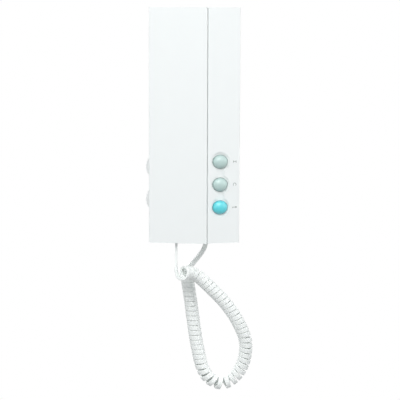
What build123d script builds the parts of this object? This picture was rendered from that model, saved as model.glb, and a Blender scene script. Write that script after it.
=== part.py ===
from build123d import *
import math
from bisect import bisect
import os

os.makedirs("parts", exist_ok=True)

# Wall-hung door phone: a base with a button column on the right, a lift-off handset on the
# left and a curly cord below. X points right, Y into the wall, Z up, all in millimetres.
# The origin is the centre of the back face, so a depth is measured outwards, along -Y.

# Body
body_height = 215.0
body_width = 83.0
column_width = 29.5
edge_round = 0.8
cut_overrun = 1.0
running_gap = 0.05
loose_gap = 0.3
screw_gap = 0.05

# Depths from the wall to the main faces
tray_depth = 6.0
cradle_depth = 26.0
column_ridge_depth = 58.0
column_edge_depth = 51.0
tray_wall = 2.2
cover_wall = 2.2
seam_chamfer = 0.4

# Handset
handset_gap = 0.3
handset_seam_depth = 42.0
front_ridge_height = 18.0
front_edge_height = 10.5
handset_wall = 2.0
handset_end_gap = 1.0
handset_seat_gap = 0.3
handset_round = 1.1
grip_below_seam = 4.0
grip_from_ear_block = 16.0
grip_from_mouth_block = 14.0
grip_slope = 12.0
grip_round = 7.0
lip_height = 1.4
lip_wall = 1.0
lip_gap = 0.15

# Ear and mouth blocks of the handset and their pockets in the cradle
block_width = 40.0
block_depth = 21.0
ear_block_height = 42.0
ear_block_margin = 9.5
mouth_block_height = 38.0
mouth_block_margin = 7.5
block_round = 2.5
pocket_side_gap = 0.5
lift_angle = 30.0

# Buttons
button_x = 23.9
button_door_margin = 33.0
button_pitch = 21.0
button_wide = 14.2
button_tall = 12.5
button_gap = 0.3
button_proud = 0.2
button_dome = 2.2
flange_width = 1.3
flange_thickness = 1.2
stem_diameter = 5.0
recess_diameter = 17.4
recess_neck = 7.1
recess_depth = 1.0

# Circuit boards
board_thickness = 1.6
main_board_depth = 6.0
main_board_half_width = 36.0
board_from_ear_block = 10.0
main_board_margin = 19.5
board_tongue_left = 2.0
board_tongue_right = 22.0
board_tongue_margin = 3.5
standoff_diameter = 6.0
board_screw_diameter = 2.2
board_screw_head = 4.2
board_screw_head_height = 1.4
board_screw_length = 3.0

# Volume wheels
wheel_diameter = 28.0
wheel_reach = 3.6
wheel_thickness = 4.5
wheel_depth = 11.0
wheel_margin = 36.1
wheel_pitch = 30.8
wheel_slot_gap = 0.5
wheel_flutes = 30
flute_depth = 0.5
wheel_shaft_diameter = 6.0
wheel_shaft_length = 2.2
pot_size = 10.0
pot_height = 3.0

# Cord
cord_width = 3.8
cord_thickness = 2.2
coil_diameter = 12.4
coil_pitch = 4.75
coil_inner_pitch = 4.3
coil_first_turn_share = 0.14
coil_last_turn_share = 0.64
coil_flare = 1.2
coil_flare_turns = 0.6
base_exit_x = 12.0
handset_exit_x = -16.3
handset_exit_from_seam = 5.7
plug_width = 7.6
plug_depth = 6.6
plug_length = 11.5
plug_inset = 1.7
jack_gap = 0.15
jack_width = 11.0
jack_depth = 10.0
jack_length = 13.9
cord_hole_gap = 0.5

half_height = body_height / 2
half_width = body_width / 2
ear_top = half_height - ear_block_margin
ear_bottom = ear_top - ear_block_height
mouth_bottom = -half_height + mouth_block_margin
mouth_top = mouth_bottom + mouth_block_height
grip_top = ear_bottom - grip_from_ear_block
grip_bottom = mouth_top + grip_from_mouth_block
grip_depth = handset_seam_depth - grip_below_seam
handset_ridge_depth = handset_seam_depth + front_ridge_height
handset_edge_depth = handset_seam_depth + front_edge_height
handset_exit_depth = handset_seam_depth + handset_exit_from_seam
main_board_top = ear_bottom - board_from_ear_block
main_board_bottom = -half_height + main_board_margin
board_tongue_bottom = -half_height + board_tongue_margin
wheel_lower_height = -half_height + wheel_margin
wheel_upper_height = wheel_lower_height + wheel_pitch
column_left = half_width - column_width
handset_right = column_left - handset_gap
handset_left = -half_width
handset_width = handset_right - handset_left
handset_middle = (handset_left + handset_right) / 2
end_back_depth = cradle_depth + handset_end_gap
pocket_depth = block_depth - handset_seat_gap
pocket_clear_height = (cradle_depth - pocket_depth) * math.tan(math.radians(lift_angle)) + handset_seat_gap
main_board_front = main_board_depth + board_thickness
base_exit_depth = main_board_front + jack_depth / 2
base_plug = (plug_width, plug_depth)
handset_plug = (plug_depth, plug_width)

# The column's front facet leans back from its ridge at the handset to its right edge
facet_x = Vector(column_width, column_ridge_depth - column_edge_depth, 0).normalized()
facet_out = Vector(facet_x.Y, -facet_x.X, 0)
facet_slope = (column_ridge_depth - column_edge_depth) / column_width
facet_depth = column_ridge_depth - (button_x - column_left) * facet_slope
button_heights = [-half_height + button_door_margin + button_pitch * i for i in (2, 1, 0)]
button_names = ["top", "middle", "door"]


def facing(depth):
    """A plane parallel to the wall, seen from the front: local x is X, local y is Z."""
    return Plane(origin=(0, -depth, 0), x_dir=(1, 0, 0), z_dir=(0, -1, 0))


def facet_plane(inward):
    """A plane parallel to the column's facet, sunk by inward, centred on the buttons' line."""
    origin = Vector(button_x, -facet_depth, 0) - facet_out * inward
    return Plane(origin=origin, x_dir=facet_x, z_dir=facet_out)


def facet_section(height):
    """The plane square to the column at a height: local x across the facet, local y outwards."""
    return Plane(origin=(button_x, -facet_depth, height), x_dir=facet_x, z_dir=(0, 0, -1))


def save(item, label):
    item.part.label = label
    export_step(item.part, "parts/" + label + ".step")


# Back plate: a shallow tray screwed to the wall, which carries the main board
wall_hole_x = -20.0
wall_hole_upper_margin = 32.5
wall_hole_lower_margin = 12.5
wall_hole_heights = [half_height - wall_hole_upper_margin, -half_height + wall_hole_lower_margin]
wall_hole_diameter = 4.6
wall_pad_diameter = 11.0
wall_pad_height = 1.2
cable_window_width = 32.0
cable_window_height = 16.0
cable_window_above_board = 12.0
cable_window_centre = main_board_top + cable_window_above_board
standoff_x = 32.0
standoff_top_margin = 6.0
standoff_bottom_margin = 8.0
standoff_places = [
    (-standoff_x, main_board_top - standoff_top_margin),
    (standoff_x, main_board_top - standoff_top_margin),
    (-standoff_x, wheel_lower_height + wheel_pitch / 2),
    (standoff_x, main_board_bottom + standoff_bottom_margin),
]
cover_boss_x = -26.0
cover_boss_width = 8.0
cover_boss_height = 8.0
cover_boss_top_depth = 14.0
cover_screw_depth = 10.0
cover_screw_diameter = 2.6
cover_screw_head = 5.0
cover_screw_head_height = 1.6
cover_screw_length = 7.0
latch_places = [-24.0, 24.0]
latch_width = 8.0
latch_thickness = 1.4
latch_reach = 7.0
latch_gap = 0.2
with BuildPart() as back_plate:
    with BuildSketch(facing(0)):
        Rectangle(body_width, body_height)
    extrude(amount=tray_depth)
    fillet(back_plate.edges().filter_by(Axis.Y), edge_round)
    with BuildSketch(facing(tray_wall)):
        Rectangle(body_width - 2 * tray_wall, body_height - 2 * tray_wall)
    extrude(amount=tray_depth, mode=Mode.SUBTRACT)
    chamfer(back_plate.faces().sort_by(Axis.Y)[0].outer_wire().edges(), seam_chamfer)
    with BuildSketch(facing(tray_wall)):
        with Locations(*standoff_places):
            Circle(standoff_diameter / 2)
    extrude(amount=main_board_depth - tray_wall)
    with BuildSketch(facing(tray_wall)):
        with Locations(*[(wall_hole_x, height) for height in wall_hole_heights]):
            Circle(wall_pad_diameter / 2)
    extrude(amount=wall_pad_height)
    with BuildSketch(facing(0)):
        with Locations(*[(wall_hole_x, height) for height in wall_hole_heights]):
            Circle(wall_hole_diameter / 2)
        with Locations((0, cable_window_centre)):
            RectangleRounded(cable_window_width, cable_window_height, block_round)
    extrude(amount=tray_wall + wall_pad_height, mode=Mode.SUBTRACT)
    with BuildSketch(facing(main_board_depth)):
        with Locations(*standoff_places):
            Circle(board_screw_diameter / 2 + screw_gap)
    extrude(amount=-board_screw_length, mode=Mode.SUBTRACT)
    boss_bottom = -half_height + cover_wall + latch_gap
    with BuildSketch(facing(tray_wall)):
        with Locations((cover_boss_x, boss_bottom + cover_boss_height / 2)):
            Rectangle(cover_boss_width, cover_boss_height)
    extrude(amount=cover_boss_top_depth - tray_wall)
    with BuildSketch(Plane.XY.offset(boss_bottom)):
        with Locations((cover_boss_x, -cover_screw_depth)):
            Circle(cover_screw_diameter / 2 + screw_gap)
    extrude(amount=cover_screw_length, mode=Mode.SUBTRACT)
    latch_centre = half_height - cover_wall - latch_gap - latch_thickness / 2
    with BuildSketch(facing(tray_wall)):
        with Locations(*[(x, latch_centre) for x in latch_places]):
            Rectangle(latch_width, latch_thickness)
    extrude(amount=tray_depth + latch_reach - tray_wall)
save(back_plate, "back_plate")

# Front cover: one moulding with the cradle on the left and the button column on the right
floor_slot_count = 5
floor_slot_length = 22.0
floor_slot_width = 1.6
floor_slot_pitch = 4.0
terminal_margin = 7.0
terminal_block_depth = 8.0
terminal_centre = main_board_top - terminal_margin
sounder_x = -14.0
sounder_room_top = terminal_centre - terminal_block_depth / 2
sounder_room_bottom = wheel_upper_height + wheel_diameter / 2
sounder_height = (sounder_room_top + sounder_room_bottom) / 2
hook_x = -6.0
hook_above_middle = 3.0
hook_height = (mouth_bottom + mouth_top) / 2 + hook_above_middle
hook_diameter = 5.0
button_post_diameter = 5.6
button_post_offset = 9.5
button_post_margin = 9.0
button_post_heights = [button_heights[0] + button_post_margin, button_heights[2] - button_post_margin]
button_board_inward = 12.0
button_screw_diameter = 1.8
button_screw_length = 5.0
button_screw_head = 3.4
button_screw_head_height = 1.2
pockets = [(ear_bottom, ear_top), (mouth_bottom, mouth_top)]
wheel_heights = [wheel_upper_height, wheel_lower_height]
wheel_x = -half_width - wheel_reach + wheel_diameter / 2
with BuildPart() as front_cover:
    with BuildSketch(Plane.XY.offset(-half_height)):
        Polygon(
            (-half_width, -tray_depth),
            (-half_width, -cradle_depth),
            (column_left, -cradle_depth),
            (column_left, -column_ridge_depth),
            (half_width, -column_edge_depth),
            (half_width, -tray_depth),
            align=None,
        )
    extrude(amount=body_height)
    outer_edges = front_cover.edges().filter_by(Axis.Z).filter_by_position(
        Axis.X, column_left, half_width
    )
    fillet(outer_edges.group_by(Axis.Y)[0] + outer_edges.sort_by(Axis.X)[-2:], edge_round)
    inside = half_height - cover_wall
    with BuildSketch(Plane.XY.offset(-inside)):
        Polygon(
            (-half_width + cover_wall, 0),
            (-half_width + cover_wall, -cradle_depth + cover_wall),
            (column_left + cover_wall, -cradle_depth + cover_wall),
            (column_left + cover_wall, -column_ridge_depth + cover_wall * (1 + facet_slope)),
            (half_width - cover_wall, -column_edge_depth + cover_wall * (1 - facet_slope)),
            (half_width - cover_wall, 0),
            align=None,
        )
    extrude(amount=2 * inside, mode=Mode.SUBTRACT)
    for bottom, top in pockets:
        pocket_low = bottom - handset_seat_gap
        pocket_high = top + pocket_clear_height
        pocket_centre = (handset_middle, (pocket_low + pocket_high) / 2)
        pocket_width = block_width + 2 * pocket_side_gap
        pocket_tall = pocket_high - pocket_low
        with BuildSketch(facing(pocket_depth - cover_wall)):
            with Locations(pocket_centre):
                Rectangle(pocket_width + 2 * cover_wall, pocket_tall + 2 * cover_wall)
        extrude(amount=cradle_depth - pocket_depth + cover_wall)
        with BuildSketch(facing(pocket_depth)):
            with Locations(pocket_centre):
                RectangleRounded(pocket_width, pocket_tall, block_round)
        extrude(amount=cradle_depth, mode=Mode.SUBTRACT)
    # Slots that let the sounder be heard, behind the handset's grip
    with BuildSketch(facing(cradle_depth)):
        with Locations((sounder_x, sounder_height)):
            with GridLocations(0, floor_slot_pitch, 1, floor_slot_count):
                SlotOverall(floor_slot_length, floor_slot_width)
    extrude(amount=-cover_wall, mode=Mode.SUBTRACT)
    with BuildSketch(facing(pocket_depth)):
        with Locations((hook_x, hook_height)):
            Circle(hook_diameter / 2 + loose_gap)
    extrude(amount=-cover_wall, mode=Mode.SUBTRACT)
    # Slots in the left wall for the two volume wheels
    for height in wheel_heights:
        inner_chord = math.sqrt(
            (wheel_diameter / 2) ** 2 - (wheel_x + half_width - cover_wall) ** 2
        )
        slot_plane = Plane(
            origin=(-half_width, -wheel_depth - wheel_thickness / 2, height),
            x_dir=(0, 0, 1),
            z_dir=(-1, 0, 0),
        )
        with BuildSketch(slot_plane):
            Rectangle(2 * (inner_chord + wheel_slot_gap), wheel_thickness + 2 * wheel_slot_gap)
        extrude(amount=-cover_wall, mode=Mode.SUBTRACT)
    # Sunk field round the buttons: three discs joined by a neck
    with BuildSketch(facet_plane(recess_depth)):
        with Locations(*[(0, height) for height in button_heights]):
            Circle(recess_diameter / 2)
        with Locations((0, button_heights[1])):
            Rectangle(recess_neck, 2 * button_pitch)
    extrude(amount=recess_depth + cut_overrun, mode=Mode.SUBTRACT)
    with BuildSketch(facet_plane(cover_wall + cut_overrun)):
        with Locations(*[(0, height) for height in button_heights]):
            Ellipse(button_wide / 2 + button_gap, button_tall / 2 + button_gap)
    extrude(amount=cover_wall + 2 * cut_overrun, mode=Mode.SUBTRACT)
    # Posts for the button board, with pilot holes
    post_places = [(button_post_offset, height) for height in button_post_heights]
    with BuildSketch(facet_plane(button_board_inward)):
        with Locations(*post_places):
            Circle(button_post_diameter / 2)
    extrude(amount=button_board_inward - cover_wall / 2)
    with BuildSketch(facet_plane(button_board_inward)):
        with Locations(*post_places):
            Circle(button_screw_diameter / 2 + screw_gap)
    extrude(amount=button_screw_length, mode=Mode.SUBTRACT)
    # Openings in the bottom wall for the cord and the cover screw
    with BuildSketch(Plane.XY.offset(-half_height)):
        with Locations((base_exit_x, -base_exit_depth)):
            Rectangle(base_plug[0] + 2 * cord_hole_gap, base_plug[1] + 2 * cord_hole_gap)
        with Locations((cover_boss_x, -cover_screw_depth)):
            Circle(cover_screw_diameter / 2 + loose_gap)
    extrude(amount=cover_wall, mode=Mode.SUBTRACT)
    with BuildSketch(Plane.XY.offset(-half_height)):
        with Locations((cover_boss_x, -cover_screw_depth)):
            Circle(cover_screw_head / 2 + loose_gap)
    extrude(amount=cover_screw_head_height, mode=Mode.SUBTRACT)
save(front_cover, "front_cover")

# Screw that holds the cover to the back plate, from below
with BuildPart() as cover_screw:
    with BuildSketch(Plane.XY.offset(-half_height)):
        with Locations((cover_boss_x, -cover_screw_depth)):
            Circle(cover_screw_head / 2)
    extrude(amount=cover_screw_head_height)
    with BuildSketch(Plane.XY.offset(-half_height + cover_screw_head_height)):
        with Locations((cover_boss_x, -cover_screw_depth)):
            Circle(cover_screw_diameter / 2)
    extrude(amount=cover_screw_length)
save(cover_screw, "cover_screw")

# Main board, with a tongue that carries the cord jack
with BuildPart() as main_board:
    with BuildSketch(facing(main_board_depth)):
        board_height = main_board_top - main_board_bottom
        with Locations((0, (main_board_top + main_board_bottom) / 2)):
            Rectangle(2 * main_board_half_width, board_height)
        tongue_middle = (board_tongue_left + board_tongue_right) / 2
        with Locations((tongue_middle, (board_tongue_bottom + main_board_bottom) / 2)):
            Rectangle(board_tongue_right - board_tongue_left, main_board_bottom - board_tongue_bottom)
        with Locations(*standoff_places):
            Circle(board_screw_diameter / 2 + screw_gap, mode=Mode.SUBTRACT)
    extrude(amount=board_thickness)
save(main_board, "main_board")

with BuildPart() as board_screws:
    with BuildSketch(facing(main_board_front)):
        with Locations(*standoff_places):
            Circle(board_screw_head / 2)
    extrude(amount=board_screw_head_height)
    with BuildSketch(facing(main_board_front)):
        with Locations(*standoff_places):
            Circle(board_screw_diameter / 2)
    extrude(amount=-(board_thickness + board_screw_length - loose_gap))
save(board_screws, "board_screws")

# Terminal block for the riser wires, with its clamp screws
terminal_count = 5
terminal_pitch = 5.0
terminal_height = 10.0
terminal_screw_diameter = 3.6
terminal_screw_sunk = 1.0
wire_hole = 2.8
with BuildPart() as terminal_block:
    with BuildSketch(facing(main_board_front)):
        with Locations((0, terminal_centre)):
            Rectangle(terminal_count * terminal_pitch, terminal_block_depth)
    extrude(amount=terminal_height)
    chamfer(terminal_block.faces().sort_by(Axis.Y)[0].edges().filter_by(Axis.X), terminal_screw_sunk)
    with BuildSketch(facing(main_board_front + terminal_height)):
        with Locations((0, terminal_centre)):
            with GridLocations(terminal_pitch, 0, terminal_count, 1):
                Circle(terminal_screw_diameter / 2 + screw_gap)
    extrude(amount=-terminal_height / 2, mode=Mode.SUBTRACT)
    terminal_top = terminal_centre + terminal_block_depth / 2
    with BuildSketch(Plane.XY.offset(terminal_top)):
        with Locations((0, -main_board_front - wire_hole)):
            with GridLocations(terminal_pitch, 0, terminal_count, 1):
                Rectangle(wire_hole, wire_hole)
    extrude(amount=-terminal_block_depth / 2, mode=Mode.SUBTRACT)
save(terminal_block, "terminal_block")

with BuildPart() as terminal_screws:
    with BuildSketch(facing(main_board_front + terminal_height / 2)):
        with Locations((0, terminal_centre)):
            with GridLocations(terminal_pitch, 0, terminal_count, 1):
                Circle(terminal_screw_diameter / 2)
    extrude(amount=terminal_height / 2 - terminal_screw_sunk)
save(terminal_screws, "terminal_screws")

# Sounder for the call tone
sounder_diameter = 23.0
sounder_tall = 8.0
sounder_port = 5.0
sounder_port_depth = 3.0
with BuildPart() as sounder:
    with BuildSketch(facing(main_board_front)):
        with Locations((sounder_x, sounder_height)):
            Circle(sounder_diameter / 2)
    extrude(amount=sounder_tall)
    chamfer(sounder.faces().sort_by(Axis.Y)[0].edges(), edge_round)
    with BuildSketch(facing(main_board_front + sounder_tall)):
        with Locations((sounder_x, sounder_height)):
            Circle(sounder_port / 2)
    extrude(amount=-sounder_port_depth, mode=Mode.SUBTRACT)
save(sounder, "sounder")

# Upright capacitors on the main board
capacitor_diameter = 8.0
capacitor_tall = 11.5
capacitor_x = 12.0
capacitor_step = 12.0
capacitor_above_sounder = 8.0
capacitor_below_sounder = 3.0
capacitor_places = [
    (capacitor_x, sounder_height + capacitor_above_sounder),
    (capacitor_x, sounder_height - capacitor_below_sounder),
    (capacitor_x + capacitor_step, sounder_height + capacitor_above_sounder / 2),
]
with BuildPart() as capacitors:
    with BuildSketch(facing(main_board_front)):
        with Locations(*capacitor_places):
            Circle(capacitor_diameter / 2)
    extrude(amount=capacitor_tall)
save(capacitors, "capacitors")

# Hook switch on the main board, and the plunger that the handset's mouth block presses
hook_switch_size = 11.0
hook_switch_top = 17.5
hook_bore_depth = 10.5
with BuildPart() as hook_switch:
    with BuildSketch(facing(main_board_front)):
        with Locations((hook_x, hook_height)):
            RectangleRounded(hook_switch_size, hook_switch_size, edge_round)
    extrude(amount=hook_switch_top - main_board_front)
    with BuildSketch(facing(hook_bore_depth)):
        with Locations((hook_x, hook_height)):
            Circle(hook_diameter / 2 + running_gap)
    extrude(amount=hook_switch_top - hook_bore_depth, mode=Mode.SUBTRACT)
save(hook_switch, "hook_switch")

with BuildPart() as hook_plunger:
    with BuildSketch(facing(hook_bore_depth + loose_gap)):
        with Locations((hook_x, hook_height)):
            Circle(hook_diameter / 2)
    extrude(amount=pocket_depth - hook_bore_depth - loose_gap)
    chamfer(hook_plunger.faces().sort_by(Axis.Y)[0].edges(), seam_chamfer)
save(hook_plunger, "hook_plunger")

# Two volume controls: a potentiometer on the board and a fluted thumb wheel on each
for name, height in zip(["call", "speech"], wheel_heights):
    with BuildPart() as volume_control:
        with BuildSketch(facing(main_board_front)):
            with Locations((wheel_x, height)):
                Rectangle(pot_size, pot_size)
        extrude(amount=pot_height)
        with BuildSketch(facing(main_board_front + pot_height)):
            with Locations((wheel_x, height)):
                Circle(wheel_shaft_diameter / 2 + running_gap)
        extrude(amount=-wheel_shaft_length, mode=Mode.SUBTRACT)
    save(volume_control, name + "_volume_control")
    with BuildPart() as volume_wheel:
        with BuildSketch(facing(wheel_depth)):
            with Locations((wheel_x, height)):
                Circle(wheel_diameter / 2)
                with PolarLocations(wheel_diameter / 2, wheel_flutes):
                    Rectangle(2 * flute_depth, 2 * flute_depth, rotation=45, mode=Mode.SUBTRACT)
        extrude(amount=wheel_thickness)
        with BuildSketch(facing(wheel_depth)):
            with Locations((wheel_x, height)):
                Circle(wheel_shaft_diameter / 2)
        extrude(amount=-(wheel_depth - main_board_front - pot_height + wheel_shaft_length - loose_gap))
    save(volume_wheel, name + "_volume_wheel")

# Button board behind the column's facet, its screws, and the ribbon to the main board
button_board_wall_gap = 0.5
button_board_room = (
    button_x - column_left - cover_wall - button_board_wall_gap
    - (button_board_inward + board_thickness) * facet_x.Y
)
button_board_left = button_board_room / facet_x.X
button_board_right = 14.0
button_board_margin = 14.0
button_board_centre_x = (button_board_right - button_board_left) / 2
with BuildPart() as button_board:
    with BuildSketch(facet_plane(button_board_inward)):
        with Locations((button_board_centre_x, button_heights[1])):
            Rectangle(
                button_board_right + button_board_left,
                2 * (button_pitch + button_board_margin),
            )
        with Locations(*post_places):
            Circle(button_screw_diameter / 2 + screw_gap, mode=Mode.SUBTRACT)
    extrude(amount=-board_thickness)
save(button_board, "button_board")

with BuildPart() as button_board_screws:
    with BuildSketch(facet_plane(button_board_inward + board_thickness)):
        with Locations(*post_places):
            Circle(button_screw_head / 2)
    extrude(amount=-button_screw_head_height)
    with BuildSketch(facet_plane(button_board_inward + board_thickness)):
        with Locations(*post_places):
            Circle(button_screw_diameter / 2)
    extrude(amount=board_thickness + button_screw_length - loose_gap)
save(button_board_screws, "button_board_screws")

switch_size = 6.0
switch_tall = 3.5
switch_bore = 2.7
plunger_diameter = 3.5
plunger_sunk = 1.2
plunger_tall = 1.5
flange_front = cover_wall + loose_gap
flange_back = flange_front + flange_thickness
stem_end = button_board_inward - switch_tall - plunger_tall
for name, height in zip(button_names, button_heights):
    with BuildPart() as button_switch:
        with BuildSketch(facet_plane(button_board_inward)):
            with Locations((0, height)):
                Rectangle(switch_size, switch_size)
        extrude(amount=switch_tall)
        with BuildSketch(facet_plane(button_board_inward - switch_tall)):
            with Locations((0, height)):
                Circle(plunger_diameter / 2 + running_gap)
        extrude(amount=-switch_bore, mode=Mode.SUBTRACT)
    save(button_switch, "button_switch_" + name)
    with BuildPart() as switch_plunger:
        with BuildSketch(facet_plane(stem_end)):
            with Locations((0, height)):
                Circle(plunger_diameter / 2)
        extrude(amount=-(plunger_tall + plunger_sunk))
    save(switch_plunger, "switch_plunger_" + name)
    # Oval cap cut from a dome, with a flange behind the cover and a stem down to its switch
    with BuildPart() as button:
        with BuildSketch(facet_section(height)):
            with BuildLine():
                Polyline(
                    (0, button_proud + button_dome),
                    (0, -flange_front),
                    (button_wide / 2, -flange_front),
                    (button_wide / 2, button_proud),
                )
                RadiusArc(
                    (0, button_proud + button_dome),
                    (button_wide / 2, button_proud),
                    ((button_wide / 2) ** 2 + button_dome**2) / (2 * button_dome),
                )
            make_face()
        revolve(axis=Axis((button_x, -facet_depth, height), tuple(facet_out)))
        with BuildSketch(facet_plane(flange_front)):
            with Locations((0, height)):
                Ellipse(button_wide / 2, button_tall / 2)
        extrude(amount=flange_front + button_proud + button_dome, mode=Mode.INTERSECT)
        with BuildSketch(facet_plane(flange_back)):
            with Locations((0, height)):
                Ellipse(button_wide / 2 + flange_width, button_tall / 2 + flange_width)
        extrude(amount=flange_thickness)
        with BuildSketch(facet_plane(stem_end)):
            with Locations((0, height)):
                Circle(stem_diameter / 2)
        extrude(amount=stem_end - flange_back)
    save(button, "button_" + name)

# Ribbon between the boards, plugged into a header on each
ribbon_local_x = 10.0
ribbon_width = 12.0
ribbon_thickness = 0.5
header_width = 4.0
header_tall = 4.0
ribbon_bow = 2.5
ribbon_bend = 5.0
board_back = facet_plane(button_board_inward + board_thickness)
header_back = board_back.from_local_coords(Vector(ribbon_local_x, 0, -header_tall))
ribbon_x = header_back.X
with BuildPart() as ribbon_headers:
    with BuildSketch(board_back):
        with Locations((ribbon_local_x, button_heights[1])):
            Rectangle(header_width, ribbon_width + header_width)
    extrude(amount=-header_tall)
    with BuildSketch(facing(main_board_front)):
        with Locations((ribbon_x, button_heights[1])):
            Rectangle(header_width, ribbon_width + header_width)
    extrude(amount=header_tall)
save(ribbon_headers, "ribbon_headers")

ribbon_start = main_board_front + header_tall
ribbon_end = -header_back.Y - loose_gap
with BuildPart() as button_ribbon:
    with BuildSketch(Plane.XY.offset(button_heights[1] - ribbon_width / 2)):
        with BuildLine():
            FilletPolyline(
                (ribbon_x, -ribbon_start),
                (ribbon_x, -ribbon_start - ribbon_bend),
                (ribbon_x + ribbon_bow, -(ribbon_start + ribbon_end) / 2),
                (ribbon_x, -ribbon_end + ribbon_bend),
                (ribbon_x, -ribbon_end),
                radius=ribbon_bend,
            )
        trace(line_width=ribbon_thickness)
    extrude(amount=ribbon_width)
save(button_ribbon, "button_ribbon")


# Cord jacks and plugs: a socket that opens downwards and the moulded plug inside it
def make_jack(x, depth, outer_size, plug_size, label):
    with BuildPart() as jack:
        with BuildSketch(Plane.XY.offset(-half_height + jack_floor)):
            with Locations((x, -depth)):
                Rectangle(*outer_size)
        extrude(amount=jack_length)
        with BuildSketch(Plane.XY.offset(-half_height + jack_floor)):
            with Locations((x, -depth)):
                Rectangle(plug_size[0] + 2 * jack_gap, plug_size[1] + 2 * jack_gap)
        extrude(amount=plug_inset + plug_length + jack_gap - jack_floor, mode=Mode.SUBTRACT)
    save(jack, label)


def make_plug(x, depth, plug_size, label):
    with BuildPart() as plug:
        with BuildSketch(Plane.XY.offset(-half_height + plug_inset)):
            with Locations((x, -depth)):
                Rectangle(*plug_size)
        extrude(amount=plug_length)
        chamfer(plug.faces().sort_by(Axis.Z)[-1].edges(), seam_chamfer)
        chamfer(plug.faces().sort_by(Axis.Z)[0].edges(), seam_chamfer)
    save(plug, label)


jack_floor = cover_wall + loose_gap
base_jack = (jack_width, jack_depth)
handset_jack = (jack_depth, jack_width)
make_jack(base_exit_x, base_exit_depth, base_jack, base_plug, "base_cord_jack")
make_jack(handset_exit_x, handset_exit_depth, handset_jack, handset_plug, "handset_cord_jack")
make_plug(base_exit_x, base_exit_depth, base_plug, "base_cord_plug")
make_plug(handset_exit_x, handset_exit_depth, handset_plug, "handset_cord_plug")

# Handset front shell: the long face, with its ridge beside the column
front_slope = (handset_ridge_depth - handset_edge_depth) / handset_width
with BuildPart() as handset_front_shell:
    with BuildSketch(Plane.XY.offset(-half_height)):
        Polygon(
            (handset_left, -handset_seam_depth),
            (handset_left, -handset_edge_depth),
            (handset_right, -handset_ridge_depth),
            (handset_right, -handset_seam_depth),
            align=None,
        )
    extrude(amount=body_height)
    upright = handset_front_shell.edges().filter_by(Axis.Z)
    fillet(upright.group_by(Axis.Y)[0], handset_round)
    fillet(upright.group_by(Axis.Y)[1], edge_round)
    inside = half_height - handset_wall
    with BuildSketch(Plane.XY.offset(-inside)):
        Polygon(
            (handset_left + handset_wall, -handset_seam_depth + cut_overrun),
            (handset_left + handset_wall, -handset_edge_depth + handset_wall * (1 - front_slope)),
            (handset_right - handset_wall, -handset_ridge_depth + handset_wall * (1 + front_slope)),
            (handset_right - handset_wall, -handset_seam_depth + cut_overrun),
            align=None,
        )
    extrude(amount=2 * inside, mode=Mode.SUBTRACT)
    seam_rim = handset_front_shell.faces().filter_by(Axis.Y).sort_by(Axis.Y)[-1]
    chamfer(seam_rim.outer_wire().edges(), seam_chamfer)
    # Lip that enters the rear shell
    lip_width = handset_width - 2 * (handset_wall + lip_gap)
    lip_tall = body_height - 2 * (handset_wall + lip_gap)
    with BuildSketch(facing(handset_seam_depth - lip_height)):
        with Locations((handset_middle, 0)):
            Rectangle(lip_width, lip_tall)
            Rectangle(lip_width - 2 * lip_wall, lip_tall - 2 * lip_wall, mode=Mode.SUBTRACT)
    extrude(amount=lip_height)
    with BuildSketch(facing(handset_seam_depth)):
        with Locations((handset_middle, 0)):
            Rectangle(handset_width - handset_wall, body_height - handset_wall)
            Rectangle(lip_width - 2 * lip_wall, lip_tall - 2 * lip_wall, mode=Mode.SUBTRACT)
    extrude(amount=lip_wall)
    # Way out for the cord plug
    with BuildSketch(Plane.XY.offset(-half_height)):
        with Locations((handset_exit_x, -handset_exit_depth)):
            Rectangle(handset_plug[0] + 2 * cord_hole_gap, handset_plug[1] + 2 * cord_hole_gap)
    extrude(amount=handset_wall, mode=Mode.SUBTRACT)
    # Room for the cord jack inside the lip
    with BuildSketch(Plane.XY.offset(-half_height + handset_wall)):
        with Locations((handset_exit_x, -handset_exit_depth)):
            Rectangle(handset_jack[0] + 2 * loose_gap, handset_jack[1] + 2 * loose_gap)
    extrude(amount=jack_length, mode=Mode.SUBTRACT)
    # Screw bosses that reach the rear shell's inner face
    screw_heights = [grip_top - grip_round, grip_bottom + grip_round]
    boss_diameter = 6.0
    boss_end = grip_depth + handset_wall
    with BuildSketch(facing(boss_end)):
        with Locations(*[(handset_middle, height) for height in screw_heights]):
            Circle(boss_diameter / 2)
    extrude(until=Until.NEXT)
    handset_screw_diameter = 2.6
    handset_screw_length = 10.0
    handset_screw_head = 5.0
    handset_screw_head_height = 1.2
    with BuildSketch(facing(boss_end)):
        with Locations(*[(handset_middle, height) for height in screw_heights]):
            Circle(handset_screw_diameter / 2 + screw_gap)
    extrude(amount=handset_screw_length, mode=Mode.SUBTRACT)
save(handset_front_shell, "handset_front_shell")

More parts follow.
